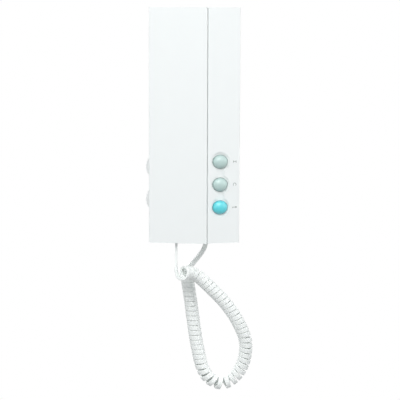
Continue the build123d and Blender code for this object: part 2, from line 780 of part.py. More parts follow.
# Handset rear shell: grip in the middle, ear and mouth blocks at the ends
receiver_height = (ear_bottom + ear_top) / 2
microphone_height = (mouth_bottom + mouth_top) / 2
receiver_diameter = 28.0
receiver_tall = 8.0
foam_thickness = 1.5
foam_hole = 20.0
collar_wall = 1.2
collar_gap = 0.2
collar_tall = 6.0
receiver_slot_pitch = 4.0
receiver_slot_lengths = [10.0, 17.0, 20.0, 17.0, 10.0]
receiver_slot_width = 1.5
boot_diameter = 13.0
boot_tall = 8.0
microphone_diameter = 9.7
microphone_tall = 6.5
microphone_hole = 2.0
microphone_hole_ring = 2.6
block_floor = block_depth + handset_wall
with BuildPart() as handset_rear_shell:
    with BuildSketch(Plane.YZ.offset(handset_left)):
        Polygon(
            (-handset_seam_depth, -half_height),
            (-handset_seam_depth, half_height),
            (-end_back_depth, half_height),
            (-end_back_depth, grip_top + grip_slope),
            (-grip_depth, grip_top),
            (-grip_depth, grip_bottom),
            (-end_back_depth, grip_bottom - grip_slope),
            (-end_back_depth, -half_height),
            align=None,
        )
    extrude(amount=handset_width)
    grip_corners = (
        handset_rear_shell.edges()
        .filter_by(Axis.X)
        .filter_by_position(Axis.Z, grip_bottom - 2 * grip_slope, grip_top + 2 * grip_slope)
    )
    fillet(grip_corners, grip_round)
    back_edges = handset_rear_shell.edges().filter_by_position(
        Axis.Y, -end_back_depth - edge_round, -end_back_depth + edge_round
    )
    fillet(back_edges.filter_by(Axis.X).group_by(Axis.Z)[0], edge_round)
    fillet(
        handset_rear_shell.edges()
        .filter_by_position(Axis.Y, -end_back_depth - edge_round, -end_back_depth + edge_round)
        .filter_by(Axis.X)
        .group_by(Axis.Z)[-1],
        edge_round,
    )
    # Hollow, following the same profile one wall inside
    slope_run = (grip_depth - end_back_depth) / math.hypot(grip_slope, grip_depth - end_back_depth)
    wall_step = handset_wall * math.tan(math.asin(slope_run) / 2)
    with BuildSketch(Plane.YZ.offset(handset_left + handset_wall)):
        Polygon(
            (-handset_seam_depth - cut_overrun, -half_height + handset_wall),
            (-handset_seam_depth - cut_overrun, half_height - handset_wall),
            (-end_back_depth - handset_wall, half_height - handset_wall),
            (-end_back_depth - handset_wall, grip_top + grip_slope + wall_step),
            (-grip_depth - handset_wall, grip_top + wall_step),
            (-grip_depth - handset_wall, grip_bottom - wall_step),
            (-end_back_depth - handset_wall, grip_bottom - grip_slope - wall_step),
            (-end_back_depth - handset_wall, -half_height + handset_wall),
            align=None,
        )
    extrude(amount=handset_width - 2 * handset_wall, mode=Mode.SUBTRACT)
    for bottom, top in pockets:
        block_centre = (handset_middle, (bottom + top) / 2)
        with BuildSketch(facing(block_depth)):
            with Locations(block_centre):
                RectangleRounded(block_width, top - bottom, block_round)
        extrude(amount=end_back_depth + handset_wall - block_depth)
        with BuildSketch(facing(block_floor)):
            with Locations(block_centre):
                Rectangle(block_width - 2 * handset_wall, top - bottom - 2 * handset_wall)
        extrude(amount=end_back_depth + handset_wall - block_floor, mode=Mode.SUBTRACT)
    # Collars round the receiver and the microphone
    for height, hole in [(receiver_height, receiver_diameter), (microphone_height, boot_diameter)]:
        with BuildSketch(facing(block_floor)):
            with Locations((handset_middle, height)):
                Circle(hole / 2 + collar_gap + collar_wall)
                Circle(hole / 2 + collar_gap, mode=Mode.SUBTRACT)
        extrude(amount=collar_tall)
    with BuildSketch(facing(block_depth)):
        for i, slot_length in enumerate(receiver_slot_lengths):
            step = i - (len(receiver_slot_lengths) - 1) / 2
            with Locations((handset_middle, receiver_height + step * receiver_slot_pitch)):
                SlotOverall(slot_length, receiver_slot_width)
        with Locations((handset_middle, microphone_height)):
            with PolarLocations(microphone_hole_ring, 3):
                Circle(microphone_hole / 2)
    extrude(amount=handset_wall, mode=Mode.SUBTRACT)
    with BuildSketch(facing(grip_depth)):
        with Locations(*[(handset_middle, height) for height in screw_heights]):
            Circle(handset_screw_diameter / 2 + screw_gap)
    extrude(amount=handset_wall, mode=Mode.SUBTRACT)
    with BuildSketch(facing(grip_depth)):
        with Locations(*[(handset_middle, height) for height in screw_heights]):
            Circle(handset_screw_head / 2 + screw_gap)
    extrude(amount=handset_screw_head_height, mode=Mode.SUBTRACT)
    seam_rim = handset_rear_shell.faces().filter_by(Axis.Y).sort_by(Axis.Y)[0]
    chamfer(seam_rim.outer_wire().edges(), seam_chamfer)
save(handset_rear_shell, "handset_rear_shell")

with BuildPart() as handset_screws:
    with BuildSketch(facing(grip_depth)):
        with Locations(*[(handset_middle, height) for height in screw_heights]):
            Circle(handset_screw_head / 2)
    extrude(amount=handset_screw_head_height)
    with BuildSketch(facing(grip_depth + handset_screw_head_height)):
        with Locations(*[(handset_middle, height) for height in screw_heights]):
            Circle(handset_screw_diameter / 2)
    extrude(amount=handset_screw_length - handset_screw_head_height)
save(handset_screws, "handset_screws")

# Receiver capsule on its foam ring, in the ear block
with BuildPart() as receiver_foam:
    with BuildSketch(facing(block_floor)):
        with Locations((handset_middle, receiver_height)):
            Circle(receiver_diameter / 2)
            Circle(foam_hole / 2, mode=Mode.SUBTRACT)
    extrude(amount=foam_thickness)
save(receiver_foam, "receiver_foam")

magnet_diameter = 18.0
magnet_tall = 4.0
with BuildPart() as receiver_capsule:
    with BuildSketch(facing(block_floor + foam_thickness)):
        with Locations((handset_middle, receiver_height)):
            Circle(receiver_diameter / 2)
    extrude(amount=receiver_tall - magnet_tall)
    with BuildSketch(facing(block_floor + foam_thickness + receiver_tall - magnet_tall)):
        with Locations((handset_middle, receiver_height)):
            Circle(magnet_diameter / 2)
    extrude(amount=magnet_tall)
save(receiver_capsule, "receiver_capsule")

# Microphone in its rubber boot, in the mouth block
with BuildPart() as microphone_boot:
    with BuildSketch(facing(block_floor)):
        with Locations((handset_middle, microphone_height)):
            Circle(boot_diameter / 2)
    extrude(amount=boot_tall)
    with BuildSketch(facing(block_floor)):
        with Locations((handset_middle, microphone_height)):
            Circle(microphone_diameter / 2)
    extrude(amount=microphone_tall, mode=Mode.SUBTRACT)
save(microphone_boot, "microphone_boot")

with BuildPart() as microphone:
    with BuildSketch(facing(block_floor)):
        with Locations((handset_middle, microphone_height)):
            Circle(microphone_diameter / 2 - running_gap)
    extrude(amount=microphone_tall - running_gap)
save(microphone, "microphone")

# Steel weight that keeps the handset down on its hook
weight_width = 30.0
weight_boss_gap = 12.0
weight_tall = screw_heights[0] - screw_heights[1] - boss_diameter - 2 * weight_boss_gap
weight_thickness = 3.5
with BuildPart() as handset_weight:
    with BuildSketch(facing(grip_depth + handset_wall + lip_gap)):
        with Locations((handset_middle, (grip_top + grip_bottom) / 2)):
            Rectangle(weight_width, weight_tall)
    extrude(amount=weight_thickness)
    fillet(handset_weight.edges().filter_by(Axis.Y), block_round)
save(handset_weight, "handset_weight")

# Curly cord. Its axis is a chain of quadratic curves: each runs from the middle of one side
# of the route to the middle of the next, and is drawn towards the corner between them.
coil_route = [
    Vector(-8.2, -28, -138),
    Vector(-6.5, -26.5, -149),
    Vector(-2.5, -27.5, -168.5),
    Vector(0.5, -29, -191.5),
    Vector(3.5, -30, -211),
    Vector(10, -32, -237.5),
    Vector(28, -33.5, -247),
    Vector(45.5, -35.5, -231.5),
    Vector(50.5, -37.5, -206),
    Vector(43.5, -40, -187),
    Vector(31.5, -42, -167.5),
    Vector(16, -45, -151.5),
    Vector(-2.5, -48, -138.5),
    Vector(-9, -56.5, -134),
]
coil_radius = (coil_diameter - cord_thickness) / 2
span_count = len(coil_route) - 2
span_steps = 40
spans = []
for i in range(span_count):
    first = coil_route[0] if i == 0 else (coil_route[i] + coil_route[i + 1]) * 0.5
    last = coil_route[-1] if i == span_count - 1 else (coil_route[i + 1] + coil_route[i + 2]) * 0.5
    spans.append((first, coil_route[i + 1], last))


def axis_point(place):
    i = min(int(place), span_count - 1)
    t = place - i
    first, corner, last = spans[i]
    return first * (1 - t) ** 2 + corner * (2 * t * (1 - t)) + last * t**2


def axis_slope(place):
    i = min(int(place), span_count - 1)
    t = place - i
    first, corner, last = spans[i]
    return (corner - first) * (2 * (1 - t)) + (last - corner) * (2 * t)


def axis_bend(place):
    """One over the bend radius of the axis."""
    i = min(int(place), span_count - 1)
    first, corner, last = spans[i]
    turning = (first - corner * 2 + last) * 2
    slope = axis_slope(place)
    return slope.cross(turning).length / slope.length**3


# The turns stand a steady pitch apart, and wider in a bend, so that they clear each other inside it
turn_counts = [0.0]
for k in range(span_count * span_steps):
    place = (k + 0.5) / span_steps
    bend_share = min(coil_diameter / 2 * axis_bend(place), 0.5)
    pitch = max(coil_pitch, coil_inner_pitch / (1 - bend_share))
    turn_counts.append(turn_counts[-1] + axis_slope(place).length / span_steps / pitch)
coil_turns = int(turn_counts[-1]) + coil_last_turn_share


def place_of(turn):
    """The place on the axis that a turn has reached."""
    want = turn * turn_counts[-1] / coil_turns
    k = min(bisect(turn_counts, want), len(turn_counts) - 1) - 1
    within = (want - turn_counts[k]) / (turn_counts[k + 1] - turn_counts[k])
    return (k + within) / span_steps


def smooth(share):
    """From 0 to 1, level at both ends."""
    share = min(max(share, 0), 1)
    return share**2 * (3 - 2 * share)


def coil_frame(turn):
    """The axis direction at a turn, and the direction from the axis to the cord."""
    along = axis_slope(place_of(turn)).normalized()
    back = (Vector(0, 1, 0) - along * along.Y).normalized()
    side = back.cross(along)
    angle = 2 * math.pi * (coil_first_turn_share - turn)
    return along, side * math.cos(angle) + back * math.sin(angle)


def wire_point(turn):
    """A point of the helix about the axis. The last turn opens out towards the handset."""
    radius = coil_radius + coil_flare * smooth((turn - coil_turns) / coil_flare_turns + 1)
    return axis_point(place_of(turn)) + coil_frame(turn)[1] * radius


def wire_tangent(turn):
    step = 0.002
    before = max(turn - step, 0)
    after = min(turn + step, coil_turns)
    return (wire_point(after) - wire_point(before)).normalized()


def flat_cord(stations, label, length):
    """A flat cord through stations: a point, the direction of its thickness, and where it faces."""
    with BuildPart() as cord:
        for point, outward, onward in stations:
            with BuildSketch(Plane(origin=point, x_dir=outward, z_dir=onward)):
                Rectangle(cord_thickness, cord_width)
        loft(ruled=True)
    save(cord, label)
    print(label, "length", round(length, 1), "volume", round(cord.part.volume, 1),
          "section by length", round(cord_width * cord_thickness * length, 1))


# One unbroken cord through every turn, with a short straight end at each side. The sections of
# the turns stand in planes through the axis.
sections_per_turn = 24
section_count = round(coil_turns * sections_per_turn)
coil_lead = 1.0
coil_stations = []
for k in range(section_count + 1):
    turn = coil_turns * k / section_count
    along, outward = coil_frame(turn)
    coil_stations.append((wire_point(turn), outward, along.cross(outward) * -1))
start_tangent = wire_tangent(0)
end_tangent = wire_tangent(coil_turns)
coil_start = wire_point(0) - start_tangent * coil_lead
coil_end = wire_point(coil_turns) + end_tangent * coil_lead


def squared(direction, tangent):
    """The part of a direction that is square to a tangent, at unit length."""
    return (direction - tangent * direction.dot(tangent)).normalized()


start_outward = squared(coil_stations[0][1], start_tangent)
end_outward = squared(coil_stations[-1][1], end_tangent)
coil_length = 2 * coil_lead + sum(
    (after[0] - before[0]).length for before, after in zip(coil_stations, coil_stations[1:])
)
flat_cord(
    [(coil_start, start_outward, start_tangent)] + coil_stations + [(coil_end, end_outward, end_tangent)],
    "cord_coil", coil_length,
)
print("turns", coil_turns)


# Least gap between one turn and the next, measured between the corners and sides of the section
def edge_marks(station, side_share):
    point, outward, onward = station
    across = onward.cross(outward)
    return [
        point + outward * (cord_thickness * u) + across * (cord_width * side_share)
        for u in (-0.5, 0, 0.5)
    ]


least_gap = body_height
for k in range(section_count - sections_per_turn):
    for other in range(k + sections_per_turn - 1, k + sections_per_turn + 2):
        for one in edge_marks(coil_stations[k], 0.5) + edge_marks(coil_stations[k], -0.5):
            for two in edge_marks(coil_stations[other], 0.5) + edge_marks(coil_stations[other], -0.5):
                least_gap = min(least_gap, (one - two).length)
print("least gap between turns", round(least_gap, 2))

# Leads between the coil and the two plugs: straight runs joined by tangent arcs, along which the
# flat cord turns from its plug to the coil
base_lead_run = 9.0
handset_lead_run = 6.5
lead_sections = 24
arc_share = 0.45
plug_face = -half_height + plug_inset
base_lead_route = [
    Vector(base_exit_x, -base_exit_depth, plug_face),
    Vector(12, -12.6, -113),
    Vector(4, -15.5, -123.5),
    coil_start - start_tangent * base_lead_run,
    coil_start,
]
handset_lead_route = [
    Vector(handset_exit_x, -handset_exit_depth, plug_face),
    Vector(-16.3, -47.7, -118),
    coil_end + end_tangent * handset_lead_run,
    coil_end,
]


def make_lead(route, plug_outward, coil_outward, label):
    """A flat lead along a route. Each arc takes the same share of its shorter run."""
    radii = []
    for before, corner, after in zip(route, route[1:], route[2:]):
        turn = math.radians((corner - before).get_angle(after - corner))
        run = min((corner - before).length, (after - corner).length)
        radii.append(arc_share * run / math.tan(turn / 2))
    with BuildLine() as path:
        FilletPolyline(*route, radius=radii)
    line = Wire(path.line.edges())
    stations = []
    for k in range(lead_sections + 1):
        share = k / lead_sections
        tangent = line.tangent_at(share)
        outward = plug_outward * (1 - smooth(share)) + coil_outward * smooth(share)
        stations.append((line.position_at(share), squared(outward, tangent), tangent))
    flat_cord(stations, label, line.length)
    print(label, "radii", [round(radius, 1) for radius in radii])


make_lead(base_lead_route, Vector(0, 1, 0), start_outward, "cord_base_lead")
make_lead(handset_lead_route, Vector(-1, 0, 0), end_outward, "cord_handset_lead")
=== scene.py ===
import math

import bpy
import numpy as np
from mathutils import Matrix, Vector


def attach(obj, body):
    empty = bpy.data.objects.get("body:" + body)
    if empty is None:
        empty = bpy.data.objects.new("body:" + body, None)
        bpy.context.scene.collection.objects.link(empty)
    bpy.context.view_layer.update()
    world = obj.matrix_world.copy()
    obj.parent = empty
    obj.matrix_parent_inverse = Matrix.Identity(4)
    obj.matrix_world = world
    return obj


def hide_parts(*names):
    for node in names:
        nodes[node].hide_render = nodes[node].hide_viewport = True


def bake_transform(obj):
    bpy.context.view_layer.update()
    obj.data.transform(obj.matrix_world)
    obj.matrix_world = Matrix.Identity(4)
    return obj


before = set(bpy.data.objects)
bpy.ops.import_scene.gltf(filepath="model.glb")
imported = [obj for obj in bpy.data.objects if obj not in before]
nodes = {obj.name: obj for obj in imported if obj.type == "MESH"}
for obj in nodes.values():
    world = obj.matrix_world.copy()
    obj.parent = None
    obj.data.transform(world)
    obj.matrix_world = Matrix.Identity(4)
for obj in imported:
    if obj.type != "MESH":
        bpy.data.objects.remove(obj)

scene = bpy.context.scene
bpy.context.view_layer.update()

# Camera
# The photograph is taken from 1.4 m in front, a little above the middle and tilted down,
# with a long lens. Its optical centre is the picture's centre.
photo_pixels = 400
focal_pixels = 1479
camera_place = Vector((-0.013, -1.400, 0.093))
camera_turn, camera_tilt, camera_roll = (math.radians(degrees) for degrees in (0.78, -6.81, 0.19))
camera_data = bpy.data.cameras.new("camera")
camera_data.sensor_width = 36
camera_data.lens = focal_pixels / photo_pixels * camera_data.sensor_width
camera = bpy.data.objects.new("camera", camera_data)
scene.collection.objects.link(camera)
forward = Vector((
    math.sin(camera_turn) * math.cos(camera_tilt),
    math.cos(camera_turn) * math.cos(camera_tilt),
    math.sin(camera_tilt),
))
level = Vector((math.cos(camera_turn), -math.sin(camera_turn), 0))
upright = level.cross(forward)
right = level * math.cos(camera_roll) + upright * math.sin(camera_roll)
up = upright * math.cos(camera_roll) - level * math.sin(camera_roll)
camera_axes = Matrix((right, up, -forward)).transposed()
camera.matrix_world = Matrix.Translation(camera_place) @ camera_axes.to_4x4()
scene.camera = camera
scene.view_settings.view_transform = "Standard"

# Curly cord
# One flat telephone cord in a soft white jacket, wound hot on a rod into some 53 turns. It
# leaves the underside of the base, hangs in a loop, and goes up into the end of the handset.
cord_width = 0.0043
cord_thickness = 0.0022
coil_radius = 0.0051
coil_outside = coil_radius + cord_thickness / 2
coil_pitch = 0.00475
coil_inner_pitch = 0.0045
largest_bend_share = 0.5
coil_turns = 52.64
coil_first_turn_share = 0.14
coil_flare = 0.0010
coil_flare_turns = 0.8
samples_per_turn = 44
coil_lead = 0.001
base_lead_run = 0.009
handset_lead_run = 0.0065
base_exit = (0.012, -0.0126, -0.1058)
below_base_exit = (0.012, -0.0126, -0.1155)
base_lead_bend = (0.0060, -0.0150, -0.1248)
handset_exit = (-0.0163, -0.0477, -0.1058)
below_handset_exit = (-0.0163, -0.0477, -0.119)
coil_route = (
    (-0.0069, -0.028, -0.1395),
    (-0.0055, -0.0265, -0.149),
    (-0.0025, -0.0275, -0.1685),
    (0.0005, -0.029, -0.1915),
    (0.0035, -0.030, -0.211),
    (0.010, -0.032, -0.2375),
    (0.028, -0.0335, -0.247),
    (0.0455, -0.0355, -0.2315),
    (0.0505, -0.0375, -0.206),
    (0.0435, -0.040, -0.187),
    (0.0315, -0.042, -0.1675),
    (0.016, -0.0435, -0.1515),
    (-0.0002, -0.0445, -0.136),
    (-0.0099, -0.0558, -0.1350),
)


def unit(vectors):
    """Each row divided by its length."""
    return vectors / np.linalg.norm(vectors, axis=-1, keepdims=True)


def eased(share):
    """3 s^2 - 2 s^3, which goes from 0 to 1 and is level at both ends."""
    return share**2 * (3 - 2 * share)


def route_points(corners):
    """Points along the quadratic spline whose control points are the corners of a route."""
    curve = bpy.data.curves.new("route", "CURVE")
    curve.dimensions = "3D"
    curve.resolution_u = 32
    spline = curve.splines.new("NURBS")
    spline.points.add(len(corners) - 1)
    spline.points.foreach_set("co", [value for corner in corners for value in (*corner, 1)])
    spline.order_u = 3
    spline.use_endpoint_u = True
    holder = bpy.data.objects.new("route", curve)
    mesh = bpy.data.meshes.new_from_object(holder)
    flat = np.empty(len(mesh.vertices) * 3, np.float32)
    mesh.vertices.foreach_get("co", flat)
    bpy.data.meshes.remove(mesh)
    bpy.data.objects.remove(holder)
    bpy.data.curves.remove(curve)
    return flat.reshape(-1, 3).astype(float)


def at(where, distances, values):
    """Rows of values, read between the distances at which they are given."""
    return np.stack([np.interp(where, distances, values[:, k]) for k in range(3)], axis=1)


# The coil's axis, and the turns that each step along it adds: more room a turn in a bend
axis = route_points(coil_route)
axis_steps = np.linalg.norm(np.diff(axis, axis=0), axis=1)
axis_distance = np.concatenate([[0], np.cumsum(axis_steps)])
axis_along = unit(np.gradient(axis, axis_distance, axis=0))
bend = np.linalg.norm(np.gradient(axis_along, axis_distance, axis=0), axis=1)
bend_share = np.minimum(coil_outside * (bend[1:] + bend[:-1]) / 2, largest_bend_share)
pitches = np.maximum(coil_pitch, coil_inner_pitch / (1 - bend_share))
turns_done = np.concatenate([[0], np.cumsum(axis_steps / pitches)])
turns_done *= coil_turns / turns_done[-1]

# The helix about that axis, a little wider in its last turn
turn = np.linspace(0, coil_turns, round(coil_turns * samples_per_turn))
place = np.interp(turn, turns_done, axis_distance)
along = unit(at(place, axis_distance, axis_along))
back = unit(np.array([0, 1, 0]) - along * along[:, 1:2])
side = np.cross(back, along)
angle = 2 * np.pi * (coil_first_turn_share - turn)[:, None]
coil_outward = side * np.cos(angle) + back * np.sin(angle)
loosening = np.clip((turn - coil_turns + coil_flare_turns) / coil_flare_turns, 0, 1)[:, None]
coil_radii = coil_radius + coil_flare * eased(loosening)
coil_line = at(place, axis_distance, axis) + coil_outward * coil_radii
coil_slope = unit(np.gradient(coil_line, axis=0))

# The two leads, from the coil's ends to the plugs
coil_start = coil_line[0] - coil_slope[0] * coil_lead
coil_end = coil_line[-1] + coil_slope[-1] * coil_lead
base_lead = route_points([
    base_exit,
    below_base_exit,
    base_lead_bend,
    coil_start - coil_slope[0] * base_lead_run,
    coil_start,
])
handset_lead = route_points([
    coil_end,
    coil_end + coil_slope[-1] * handset_lead_run,
    below_handset_exit,
    handset_exit,
])


def turning(first, last, count):
    """Directions that turn from first to last along a lead, eased at both ends."""
    share = eased(np.linspace(0, 1, count)[:, None])
    return np.array(first) * (1 - share) + np.array(last) * share


cord_line = np.concatenate([base_lead, coil_line, handset_lead])
cord_outward = np.concatenate([
    turning((0, 1, 0), coil_outward[0], len(base_lead)),
    coil_outward,
    turning(coil_outward[-1], (-1, 0, 0), len(handset_lead)),
])


def tube_faces(rings, around, clockwise=False):
    """Quads between neighbouring rings of points, and one face over each end. They point
    outwards where the points of a ring run anticlockwise as the tube comes towards the eye,
    and where they run clockwise, if told so."""
    here = np.arange(around)
    beside = (here + 1) % around
    ring = np.arange(rings - 1)[:, None] * around
    beyond = ring + around
    quads = np.stack([ring + here, ring + beside, beyond + beside, beyond + here], axis=-1)
    ends = np.stack([here[::-1], (rings - 1) * around + here])
    if clockwise:
        quads = quads[..., [0, 3, 2, 1]]
        ends = ends[:, ::-1]
    return quads.reshape(-1, 4).tolist() + ends.tolist()


def mesh_piece(name, places, faces):
    """A new piece of the scene from its points and faces."""
    mesh = bpy.data.meshes.new(name)
    mesh.from_pydata(np.reshape(places, (-1, 3)).tolist(), [], faces)
    piece = bpy.data.objects.new(name, mesh)
    scene.collection.objects.link(piece)
    return piece


def flat_cord(name, line, outward, width, thickness, power=9, around=24):
    """A closed tube along a line. Its section is a rounded bar, |x|^power + |y|^power = 1 scaled
    to the width and the thickness, with the thickness along the outward direction."""
    slope = unit(np.gradient(line, axis=0))
    outward = unit(outward - slope * np.sum(outward * slope, axis=1, keepdims=True))
    across = np.cross(slope, outward)
    section = np.linspace(0, 2 * np.pi, around, endpoint=False) + np.pi / around
    thin = np.sign(np.cos(section)) * np.abs(np.cos(section)) ** (2 / power) * thickness / 2
    wide = np.sign(np.sin(section)) * np.abs(np.sin(section)) ** (2 / power) * width / 2
    places = line[:, None] + outward[:, None] * thin[:, None] + across[:, None] * wide[:, None]
    piece = mesh_piece(name, places, tube_faces(len(line), around))
    piece.data.shade_smooth()
    return piece


# The jacket and every moulding have one kind of satin skin, from a lightly textured mould: a
# fine grain, and a faint unevenness of gloss and of tone. Each has it in its own colour.
def moulded_skin_group():
    """A node group that puts out a colour, a roughness and a normal from object coordinates.
    A fine noise is the height of the grain. A coarse one, n, adds (n - 1/2) times the gloss
    change to the roughness, and scales the colour by 1 - n times the tone change."""
    grain_detail, grain_strength = 3, 0.6
    drift_per_metre, drift_detail = 60, 4
    gloss_change = 0.12
    group = bpy.data.node_groups.new("moulded skin", "ShaderNodeTree")
    for name, kind, value in (
        ("Colour", "NodeSocketColor", (0.8, 0.8, 0.8, 1)),
        ("Tone change", "NodeSocketFloat", 0.02),
        ("Roughness", "NodeSocketFloat", 0.4),
        ("Grain per metre", "NodeSocketFloat", 3000.0),
        ("Grain depth", "NodeSocketFloat", 0.00001),
    ):
        socket = group.interface.new_socket(name, in_out="INPUT", socket_type=kind)
        socket.default_value = value
    group.interface.new_socket("Colour", in_out="OUTPUT", socket_type="NodeSocketColor")
    group.interface.new_socket("Roughness", in_out="OUTPUT", socket_type="NodeSocketFloat")
    group.interface.new_socket("Normal", in_out="OUTPUT", socket_type="NodeSocketVector")
    make, link = group.nodes.new, group.links.new
    given = make("NodeGroupInput")
    result = make("NodeGroupOutput")
    coordinates = make("ShaderNodeTexCoord")

    grain = make("ShaderNodeTexNoise")
    grain.inputs["Detail"].default_value = grain_detail
    link(coordinates.outputs["Object"], grain.inputs["Vector"])
    link(given.outputs["Grain per metre"], grain.inputs["Scale"])
    bump = make("ShaderNodeBump")
    bump.inputs["Strength"].default_value = grain_strength
    link(given.outputs["Grain depth"], bump.inputs["Distance"])
    link(grain.outputs["Fac"], bump.inputs["Height"])
    link(bump.outputs["Normal"], result.inputs["Normal"])

    drift = make("ShaderNodeTexNoise")
    drift.inputs["Scale"].default_value = drift_per_metre
    drift.inputs["Detail"].default_value = drift_detail
    link(coordinates.outputs["Object"], drift.inputs["Vector"])
    lowered = make("ShaderNodeMath")
    lowered.operation = "SUBTRACT"
    lowered.inputs[1].default_value = gloss_change / 2
    link(given.outputs["Roughness"], lowered.inputs[0])
    change = make("ShaderNodeMath")
    change.operation = "MULTIPLY_ADD"
    change.inputs[1].default_value = gloss_change
    link(drift.outputs["Fac"], change.inputs[0])
    link(lowered.outputs[0], change.inputs[2])
    link(change.outputs[0], result.inputs["Roughness"])

    shade = make("ShaderNodeMath")
    shade.operation = "MULTIPLY"
    link(drift.outputs["Fac"], shade.inputs[0])
    link(given.outputs["Tone change"], shade.inputs[1])
    tone = make("ShaderNodeMath")
    tone.operation = "SUBTRACT"
    tone.inputs[0].default_value = 1
    link(shade.outputs[0], tone.inputs[1])
    scaled = make("ShaderNodeVectorMath")
    scaled.operation = "SCALE"
    link(given.outputs["Colour"], scaled.inputs[0])
    link(tone.outputs[0], scaled.inputs["Scale"])
    link(scaled.outputs[0], result.inputs["Colour"])
    return group


moulded_skin = moulded_skin_group()


def moulded(
    name, colour, roughness, metallic=0, tone_change=0.02, grain=3000.0, grain_depth=0.00001
):
    """A new material with the moulded skin in one colour."""
    material = bpy.data.materials.new(name)
    material.use_nodes = True
    tree = material.node_tree
    shader = tree.nodes["Principled BSDF"]
    shader.inputs["Metallic"].default_value = metallic
    skin = tree.nodes.new("ShaderNodeGroup")
    skin.node_tree = moulded_skin
    skin.inputs["Colour"].default_value = (*colour, 1)
    skin.inputs["Tone change"].default_value = tone_change
    skin.inputs["Roughness"].default_value = roughness
    skin.inputs["Grain per metre"].default_value = grain
    skin.inputs["Grain depth"].default_value = grain_depth
    tree.links.new(skin.outputs["Colour"], shader.inputs["Base Color"])
    tree.links.new(skin.outputs["Roughness"], shader.inputs["Roughness"])
    tree.links.new(skin.outputs["Normal"], shader.inputs["Normal"])
    return material


cord_jacket = moulded("cord jacket", (0.945, 0.98, 0.96), 0.36, grain=1500.0)
jacket_shader = cord_jacket.node_tree.nodes["Principled BSDF"]
jacket_shader.inputs["Subsurface Weight"].default_value = 0.12
jacket_shader.inputs["Subsurface Radius"].default_value = (1.0, 1.0, 0.95)
jacket_shader.inputs["Subsurface Scale"].default_value = 0.0012
curly_cord = flat_cord("curly_cord", cord_line, cord_outward, cord_width, cord_thickness)
curly_cord.data.materials.append(cord_jacket)
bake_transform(curly_cord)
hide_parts("cord_coil", "cord_base_lead", "cord_handset_lead")


# Base and handset mouldings
# White ABS with a satin face, moulded in four shells that snap and screw together, and the
# sprung plunger that the handset holds in while it hangs.
def finish_nodes(material, *names):
    """Put one material in every slot of these CAD nodes."""
    for name in names:
        if not nodes[name].material_slots:
            nodes[name].data.materials.append(material)
        for slot in nodes[name].material_slots:
            slot.material = material


finish_nodes(
    moulded("white plastic", (0.915, 0.945, 0.94), 0.38),
    "back_plate", "front_cover", "hook_plunger", "handset_front_shell", "handset_rear_shell",
)

# Volume wheels
# Two flat thumb wheels with fluted rims that stand out at the left edge, a shade greyer. Each
# turns on the spindle of its volume control.
finish_nodes(
    moulded("wheel plastic", (0.92, 0.935, 0.93), 0.45),
    "call_volume_wheel", "speech_volume_wheel",
)

# Button caps
# Oval domed caps, two in pale grey-green and the door button in turquoise, moulded in one piece
# with a flange behind the cover and a stem that presses on a switch. Each one slides in its hole.
ridge_corner = np.array([0.012, -0.058, 0])
facet_along = unit(np.array([0.0295, 0.007, 0]))
facet_out = np.array([facet_along[1], -facet_along[0], 0])
upward = np.array([0, 0, 1])
button_along = 0.01223
button_heights = {"top": -0.0325, "middle": -0.0535, "door": -0.0745}
cap_wide, cap_tall = 0.0138, 0.0122
cap_top, cap_rim = 0.0036, -0.0010
dome_power = 2.2
dome_rings, dome_first_share = 28, 0.02
flange_reach = 0.0013
flange_front, flange_back = -0.0025, -0.0037
stem_radius, stem_end = 0.0025, -0.007
cap_points = 96
cap_sharp_angle = math.radians(50)


def oval_cap(name, height):
    """Rings of points round an oval. At a share s of the way out, the dome keeps
    (1 - s^power)^(1/power) of its rise, then the rings follow the wall, the flange and the stem."""
    share = np.sin(np.linspace(dome_first_share, 1, dome_rings) * np.pi / 2)
    dome = cap_rim + (cap_top - cap_rim) * (1 - share**dome_power) ** (1 / dome_power)
    half_wide, half_tall = cap_wide / 2, cap_tall / 2
    rings = np.concatenate([
        np.stack([share * half_wide, share * half_tall, dome], axis=1),
        [
            (half_wide, half_tall, flange_front),
            (half_wide + flange_reach, half_tall + flange_reach, flange_front),
            (half_wide + flange_reach, half_tall + flange_reach, flange_back),
            (stem_radius, stem_radius, flange_back),
            (stem_radius, stem_radius, stem_end),
        ],
    ])
    angles = np.linspace(0, 2 * np.pi, cap_points, endpoint=False)
    centre = ridge_corner + facet_along * button_along + upward * height
    places = (
        centre
        + (rings[:, None, :1] * np.cos(angles)[:, None]) * facet_along
        + (rings[:, None, 1:2] * np.sin(angles)[:, None]) * upward
        + rings[:, None, 2:] * facet_out
    )
    cap = mesh_piece(name, places, tube_faces(len(rings), cap_points, clockwise=True))
    cap.data.shade_smooth()
    cap.data.set_sharp_from_angle(angle=cap_sharp_angle)
    return cap


grey_button = moulded("grey button", (0.475, 0.645, 0.615), 0.4)
turquoise_button = moulded("turquoise button", (0.06, 0.66, 0.74), 0.4)
for button_material in (grey_button, turquoise_button):
    button_shader = button_material.node_tree.nodes["Principled BSDF"]
    button_shader.inputs["Coat Weight"].default_value = 1.0
    button_shader.inputs["Coat Roughness"].default_value = 0.4
    button_shader.inputs["Coat IOR"].default_value = 1.8
for place_name, height in button_heights.items():
    cap = oval_cap(place_name + "_button_cap", height)
    cap.data.materials.append(turquoise_button if place_name == "door" else grey_button)
    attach(cap, place_name + "_button")
    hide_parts("button_" + place_name)

# Printed signs
# A small grey pictogram beside each button, pad-printed on the column's facet: two marks, an
# arch and a key. The ink is a film a few hundredths of a millimetre thick.
ink_thickness = 0.00004
stroke_width = 0.0005
sign_across = 0.0258


